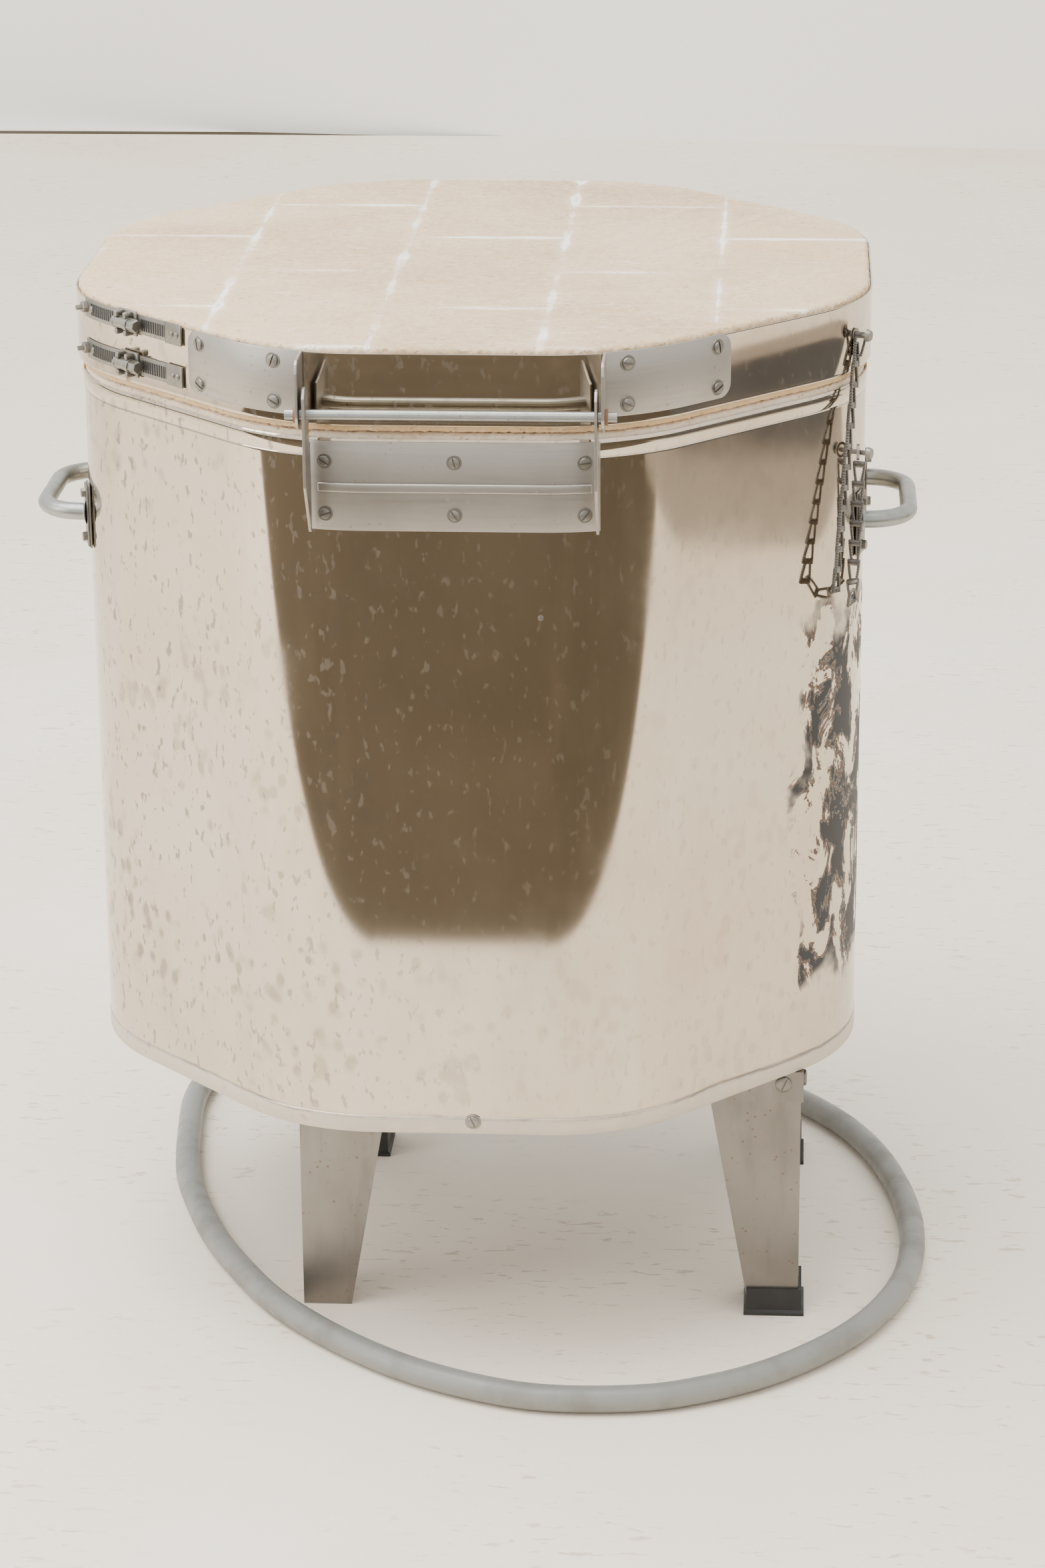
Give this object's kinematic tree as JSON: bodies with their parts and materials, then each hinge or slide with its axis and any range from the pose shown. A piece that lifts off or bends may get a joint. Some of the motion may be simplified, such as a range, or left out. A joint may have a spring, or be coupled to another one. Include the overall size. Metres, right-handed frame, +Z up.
{
  "type": "top-loading electric pottery kiln",
  "caption": "Octagonal firebrick kiln in a bent stainless jacket, hinged brick lid with screw-clamped band and support chain, on a four-legged stand with a rear control box and cable",
  "frame": {"origin": "middle of the kiln's overall length and width, on the floor", "axes": "+Z is up, -Y is the hinge side and +Y the control box side, +X is the side with the support chain"},
  "size_m": [0.6587, 0.7968, 0.7667],
  "materials": {
    "firebrick": "soft insulating firebrick, cream with brown specks",
    "stainless": "polished stainless sheet",
    "satin_aluminium": "satin pressed sheet",
    "zinc_steel": "zinc-plated steel",
    "rusty_steel": "rusted steel",
    "leg_steel": "bright sheet steel with rust spots",
    "pan_steel": "sheet steel",
    "element_wire": "oxidised resistance wire",
    "black_rubber": "moulded rubber",
    "grey_paint": "grey paint",
    "black_plastic": "moulded black plastic",
    "red_lamp": "red lens",
    "terminal_ceramic": "white ceramic",
    "plug_ceramic": "fired clay",
    "grey_cable": "grey rubber sheath",
    "brass": "bright brass"
  },
  "bodies": {
    "kiln_body": {"base_pan": "pan_steel", "floor_slab": "firebrick", "brick_course_1": "firebrick", "brick_course_2": "firebrick", "brick_course_3": "firebrick", "brick_course_4": "firebrick", "heating_element_1": "element_wire", "heating_element_2": "element_wire", "heating_element_3": "element_wire", "heating_element_4": "element_wire", "jacket": "stainless", "hinge_bracket": "satin_aluminium", "left_handle": "zinc_steel", "right_handle": "zinc_steel", "stand_frame": "leg_steel", "near_left_leg": "leg_steel", "near_right_leg": "leg_steel", "far_left_leg": "leg_steel", "far_right_leg": "leg_steel", "near_right_boot": "black_rubber", "far_left_boot": "black_rubber", "far_right_boot": "black_rubber", "control_box": "grey_paint", "control_box_cover": "grey_paint", "pilot_lamp": "red_lamp", "terminal_block": "terminal_ceramic", "cable_gland": "black_plastic", "power_cable": "grey_cable", "plug_body": "black_plastic", "plug_pins": "brass", "body_chain_anchor": "zinc_steel", "chain_eye": "zinc_steel"},
    "rod": {"hinge_rod": "zinc_steel", "left_rod_washer": "rusty_steel", "right_rod_washer": "rusty_steel"},
    "lid": {"lid_slab": "firebrick", "lid_band": "stainless", "left_lid_hinge_plate": "satin_aluminium", "right_lid_hinge_plate": "satin_aluminium", "upper_clamp": "stainless", "lower_clamp": "stainless", "lid_handle": "black_plastic", "lid_chain_anchor": "zinc_steel"},
    "upper_clamp_bolt": {"upper_clamp_screw": "zinc_steel"},
    "lower_clamp_bolt": {"lower_clamp_screw": "zinc_steel"},
    "lower_knob": {"lower_switch_knob": "black_plastic"},
    "middle_knob": {"middle_switch_knob": "black_plastic"},
    "upper_knob": {"upper_switch_knob": "black_plastic"},
    "lower_plug": {"lower_peephole_plug": "plug_ceramic"},
    "upper_plug": {"upper_peephole_plug": "plug_ceramic"},
    "chain_1": {"chain_run_1": "zinc_steel"},
    "chain_2": {"chain_run_2": "zinc_steel"},
    "chain_3": {"chain_run_3": "zinc_steel"},
    "chain_4": {"chain_run_4": "zinc_steel"}
  },
  "joints": [
    {"name": "hinge_lift", "type": "slide", "parent": "kiln_body", "child": "rod", "axis": [0, 0, 1], "range_m": [0, 0.008]},
    {"name": "lid_hinge", "type": "hinge", "parent": "rod", "child": "lid", "pos_m": [0.002, -0.33605, 0.7257], "axis": [1, 0, 0], "range_deg": [0, 88.4]},
    {"name": "upper_clamp_turn", "type": "hinge", "parent": "lid", "child": "upper_clamp_bolt", "pos_m": [-0.24233, -0.20822, 0.7575], "axis": [0.7071, -0.7071, 0], "continuous": true},
    {"name": "lower_clamp_turn", "type": "hinge", "parent": "lid", "child": "lower_clamp_bolt", "pos_m": [-0.24233, -0.20822, 0.7282], "axis": [0.7071, -0.7071, 0], "continuous": true},
    {"name": "lower_switch_turn", "type": "hinge", "parent": "kiln_body", "child": "lower_knob", "pos_m": [0, 0.32805, 0.369], "axis": [0, 1, 0], "range_deg": [0, 270]},
    {"name": "middle_switch_turn", "type": "hinge", "parent": "kiln_body", "child": "middle_knob", "pos_m": [0, 0.32805, 0.444], "axis": [0, 1, 0], "range_deg": [0, 270]},
    {"name": "upper_switch_turn", "type": "hinge", "parent": "kiln_body", "child": "upper_knob", "pos_m": [0, 0.32805, 0.519], "axis": [0, 1, 0], "range_deg": [0, 270]},
    {"name": "lower_plug_slide", "type": "slide", "parent": "kiln_body", "child": "lower_plug", "axis": [-0.7071, 0.7071, 0], "range_m": [0, 0.085]},
    {"name": "upper_plug_slide", "type": "slide", "parent": "kiln_body", "child": "upper_plug", "axis": [-0.7071, 0.7071, 0], "range_m": [0, 0.085]},
    {"name": "chain_bend_1", "type": "hinge", "parent": "kiln_body", "child": "chain_1", "pos_m": [0.27497, -0.15566, 0.6553], "axis": [-1, 0, 0], "range_deg": [0, 144.4]},
    {"name": "chain_bend_2", "type": "hinge", "parent": "chain_1", "child": "chain_2", "pos_m": [0.27497, -0.15566, 0.5607], "axis": [1, 0, 0], "range_deg": [0, 52.7]},
    {"name": "chain_bend_3", "type": "hinge", "parent": "chain_2", "child": "chain_3", "pos_m": [0.27497, -0.16704, 0.55187], "axis": [1, 0, 0], "range_deg": [0, 64.3]},
    {"name": "chain_bend_4", "type": "hinge", "parent": "chain_3", "child": "chain_4", "pos_m": [0.27497, -0.19292, 0.5645], "axis": [1, 0, 0], "range_deg": [0, 76.97]}
  ],
  "couplings": [
    {"joint": "chain_bend_1", "follows": "lid_hinge", "ratio": 1.6279},
    {"joint": "chain_bend_2", "follows": "lid_hinge", "ratio": 0.5905},
    {"joint": "chain_bend_3", "follows": "lid_hinge", "ratio": 0.72172},
    {"joint": "chain_bend_4", "follows": "lid_hinge", "ratio": 0.86505}
  ]
}
